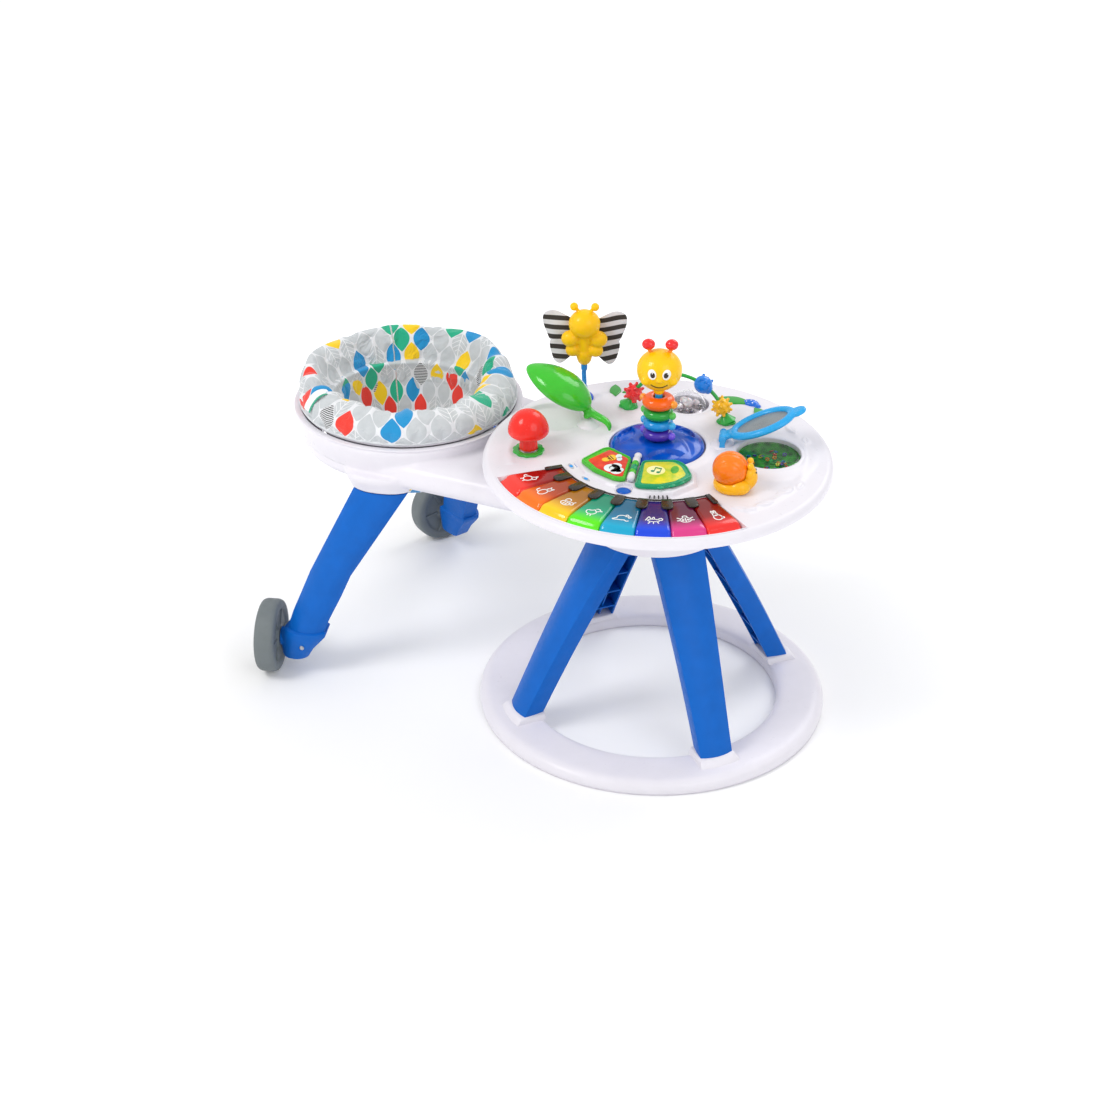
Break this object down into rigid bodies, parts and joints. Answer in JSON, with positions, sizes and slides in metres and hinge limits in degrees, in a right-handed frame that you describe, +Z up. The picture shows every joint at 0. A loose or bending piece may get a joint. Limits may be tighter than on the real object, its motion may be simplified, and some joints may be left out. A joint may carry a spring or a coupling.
{
  "type": "activity jumper",
  "caption": "Round activity table on a ring base with piano keys and toys, and a swivelling fabric seat on a wheeled arm that walks round it.",
  "frame": {"origin": "middle of the footprint, on the floor", "axes": "+X from the seat towards the table, +Z up; the piano is on the -Y side"},
  "size_m": [0.997, 0.6756, 0.6685],
  "materials": {
    "white_plastic": "moulded, glossy",
    "blue_plastic": "moulded, satin",
    "wheel_grey": "moulded, satin",
    "steel": "plain",
    "dark_plastic": "moulded",
    "fabric": "woven, printed with leaves",
    "red": "moulded",
    "orange": "moulded",
    "yellow": "moulded",
    "green": "moulded",
    "teal": "moulded",
    "sky": "moulded",
    "blue": "moulded, glossy",
    "purple": "moulded",
    "magenta": "moulded",
    "black": "moulded",
    "stripes": "woven, striped",
    "clear": "clear, polished",
    "mesh_grey": "moulded mesh",
    "pearl": "pearlescent"
  },
  "bodies": {
    "table": {"base_ring": "white_plastic", "table_leg_1": "blue_plastic", "table_leg_2": "blue_plastic", "table_leg_3": "blue_plastic", "table_leg_4": "blue_plastic", "leg_hub": "white_plastic", "table_top": "white_plastic", "table_underside": "white_plastic", "sound_module": "dark_plastic", "sharps_bar": "black", "mushroom_collar": "green", "butterfly_base": "blue", "bead_rod": "green", "bead_tray": "green", "bead_window": "clear", "clear_dome": "clear", "book_spine": "white_plastic", "stack_post": "sky"},
    "seat_arm": {"seat_frame": "white_plastic", "seat_leg_left": "blue_plastic", "seat_leg_right": "blue_plastic", "wheel_axle_left": "steel", "wheel_axle_right": "steel"},
    "wheel_left": {"wheel_left": "wheel_grey"},
    "wheel_right": {"wheel_right": "wheel_grey"},
    "seat": {"swivel_ring": "white_plastic", "seat_rim_pad": "fabric", "seat_bucket": "fabric"},
    "dish": {"spinning_dish": "blue"},
    "ring_purple": {"stack_ring_purple": "purple"},
    "ring_sky": {"stack_ring_sky": "sky"},
    "ring_green": {"stack_ring_green": "green"},
    "ring_orange": {"stack_ring_orange": "orange"},
    "head": {"stack_head": "yellow"},
    "butterfly": {"butterfly_stem": "sky", "butterfly_body": "yellow", "butterfly_wings": "stripes"},
    "leaf": {"leaf_flap": "green"},
    "mushroom": {"mushroom": "red"},
    "sound_button": {"sound_button": "blue_plastic"},
    "volume_slider": {"volume_slider": "sky"},
    "mode_slider": {"mode_slider": "sky"},
    "key_1": {"piano_key_1": "red"},
    "key_2": {"piano_key_2": "orange"},
    "key_3": {"piano_key_3": "yellow"},
    "key_4": {"piano_key_4": "green"},
    "key_5": {"piano_key_5": "sky"},
    "key_6": {"piano_key_6": "blue"},
    "key_7": {"piano_key_7": "magenta"},
    "key_8": {"piano_key_8": "red"},
    "red_ball": {"red_spiky_ball": "red"},
    "yellow_ball": {"yellow_spiky_ball": "yellow"},
    "blue_bead": {"blue_bead": "sky"},
    "dome_spinner": {"dome_spinner": "pearl"},
    "page_left": {"book_page_left": "green"},
    "page_right": {"book_page_right": "teal"},
    "paddle": {"paddle_frame": "sky", "paddle_lens": "mesh_grey"},
    "snail": {"snail_body": "yellow", "snail_shell": "orange"}
  },
  "joints": [
    {"name": "walk_around", "type": "hinge", "parent": "table", "child": "seat_arm", "pos_m": [0.1985, 0, 0.39], "axis": [0, 0, 1], "continuous": true},
    {"name": "wheel_left_spin", "type": "hinge", "parent": "seat_arm", "child": "wheel_left", "pos_m": [-0.42184, 0.2736, 0.065], "axis": [-0.915, 0.4035, 0], "continuous": true},
    {"name": "wheel_right_spin", "type": "hinge", "parent": "seat_arm", "child": "wheel_right", "pos_m": [-0.42184, -0.2736, 0.065], "axis": [-0.915, -0.4035, 0], "continuous": true},
    {"name": "seat_swivel", "type": "hinge", "parent": "seat_arm", "child": "seat", "pos_m": [-0.2985, 0, 0.45], "axis": [0, 0, 1], "continuous": true},
    {"name": "dish_spin", "type": "hinge", "parent": "table", "child": "dish", "pos_m": [0.1845, 0.024, 0.48], "axis": [0, 0, 1], "continuous": true},
    {"name": "ring_purple_spin", "type": "hinge", "parent": "table", "child": "ring_purple", "pos_m": [0.1845, 0.024, 0.4995], "axis": [0, 0, 1], "continuous": true},
    {"name": "ring_sky_spin", "type": "hinge", "parent": "table", "child": "ring_sky", "pos_m": [0.1845, 0.024, 0.5182], "axis": [0, 0, 1], "continuous": true},
    {"name": "ring_green_spin", "type": "hinge", "parent": "table", "child": "ring_green", "pos_m": [0.1845, 0.024, 0.5369], "axis": [0, 0, 1], "continuous": true},
    {"name": "ring_orange_spin", "type": "hinge", "parent": "table", "child": "ring_orange", "pos_m": [0.1845, 0.024, 0.5578], "axis": [0, 0, 1], "continuous": true},
    {"name": "head_turn", "type": "hinge", "parent": "table", "child": "head", "pos_m": [0.1845, 0.024, 0.61], "axis": [0, 0, 1], "continuous": true},
    {"name": "butterfly_sway", "type": "hinge", "parent": "table", "child": "butterfly", "pos_m": [-0.0095, 0.114, 0.4898], "axis": [-0.4695, 0.8829, 0], "range_deg": [-12, 12], "stiffness_Nm_per_rad": 1.5},
    {"name": "leaf_hinge", "type": "hinge", "parent": "table", "child": "leaf", "pos_m": [0.0485, 0.03, 0.4965], "axis": [-0.1736, 0.9848, 0], "range_deg": [-20, 3]},
    {"name": "mushroom_press", "type": "slide", "parent": "table", "child": "mushroom", "axis": [0, 0, -1], "range_m": [0, 0.006], "stiffness_N_per_m": 400, "springref_m": -0.006},
    {"name": "sound_button_press", "type": "slide", "parent": "table", "child": "sound_button", "axis": [0, 0, -1], "range_m": [0, 0.003], "stiffness_N_per_m": 400, "springref_m": -0.002},
    {"name": "volume_slide", "type": "slide", "parent": "table", "child": "volume_slider", "axis": [0.7716, -0.6361, 0], "range_m": [-0.003, 0.003]},
    {"name": "mode_slide", "type": "slide", "parent": "table", "child": "mode_slider", "axis": [0.9336, -0.3584, 0], "range_m": [-0.003, 0.003]},
    {"name": "key_1_press", "type": "hinge", "parent": "table", "child": "key_1", "pos_m": [0.10217, -0.13764, 0.468], "axis": [0.8193, -0.5734, 0], "range_deg": [0, 2], "stiffness_Nm_per_rad": 2, "springref_deg": -2.29},
    {"name": "key_2_press", "type": "hinge", "parent": "table", "child": "key_2", "pos_m": [0.13404, -0.15514, 0.468], "axis": [0.9235, -0.3837, 0], "range_deg": [0, 2], "stiffness_Nm_per_rad": 2, "springref_deg": -2.29},
    {"name": "key_3_press", "type": "hinge", "parent": "table", "child": "key_3", "pos_m": [0.16893, -0.16538, 0.468], "axis": [0.9844, -0.176, 0], "range_deg": [0, 2], "stiffness_Nm_per_rad": 2, "springref_deg": -2.29},
    {"name": "key_4_press", "type": "hinge", "parent": "table", "child": "key_4", "pos_m": [0.20521, -0.16787, 0.468], "axis": [0.9992, 0.0399, 0], "range_deg": [0, 2], "stiffness_Nm_per_rad": 2, "springref_deg": -2.29},
    {"name": "key_5_press", "type": "hinge", "parent": "table", "child": "key_5", "pos_m": [0.24117, -0.16249, 0.468], "axis": [0.9672, 0.254, 0], "range_deg": [0, 2], "stiffness_Nm_per_rad": 2, "springref_deg": -2.29},
    {"name": "key_6_press", "type": "hinge", "parent": "table", "child": "key_6", "pos_m": [0.27513, -0.14951, 0.468], "axis": [0.8899, 0.4561, 0], "range_deg": [0, 2], "stiffness_Nm_per_rad": 2, "springref_deg": -2.29},
    {"name": "key_7_press", "type": "hinge", "parent": "table", "child": "key_7", "pos_m": [0.3055, -0.12952, 0.468], "axis": [0.7709, 0.6369, 0], "range_deg": [0, 2], "stiffness_Nm_per_rad": 2, "springref_deg": -2.29},
    {"name": "key_8_press", "type": "hinge", "parent": "table", "child": "key_8", "pos_m": [0.33086, -0.10346, 0.468], "axis": [0.6158, 0.7879, 0], "range_deg": [0, 2], "stiffness_Nm_per_rad": 2, "springref_deg": -2.29},
    {"name": "red_ball_spin", "type": "hinge", "parent": "table", "child": "red_ball", "pos_m": [0.08131, 0.12776, 0.50285], "axis": [0.4528, 0.0906, 0.887], "continuous": true},
    {"name": "yellow_ball_spin", "type": "hinge", "parent": "table", "child": "yellow_ball", "pos_m": [0.23369, 0.15824, 0.50285], "axis": [0.4528, 0.0906, -0.887], "continuous": true},
    {"name": "bead_slide", "type": "hinge", "parent": "table", "child": "blue_bead", "pos_m": [0.1575, 0.143, 0.46241], "axis": [-0.1961, 0.9806, 0], "range_deg": [-64, 6]},
    {"name": "dome_spin", "type": "hinge", "parent": "table", "child": "dome_spinner", "pos_m": [0.1575, 0.18, 0.48], "axis": [0, 0, 1], "continuous": true},
    {"name": "page_left_turn", "type": "hinge", "parent": "table", "child": "page_left", "pos_m": [0.187, -0.046, 0.4905], "axis": [-0.352, 0.936, 0], "range_deg": [0, 85]},
    {"name": "page_right_turn", "type": "hinge", "parent": "table", "child": "page_right", "pos_m": [0.187, -0.046, 0.4905], "axis": [0.352, -0.936, 0], "range_deg": [0, 85]},
    {"name": "paddle_hinge", "type": "hinge", "parent": "table", "child": "paddle", "pos_m": [0.275, 0.0835, 0.491], "axis": [0.4067, -0.9135, 0], "range_deg": [-20, 60]},
    {"name": "snail_spin", "type": "hinge", "parent": "table", "child": "snail", "pos_m": [0.3565, -0.04, 0.49], "axis": [0, 0, 1], "continuous": true}
  ]
}
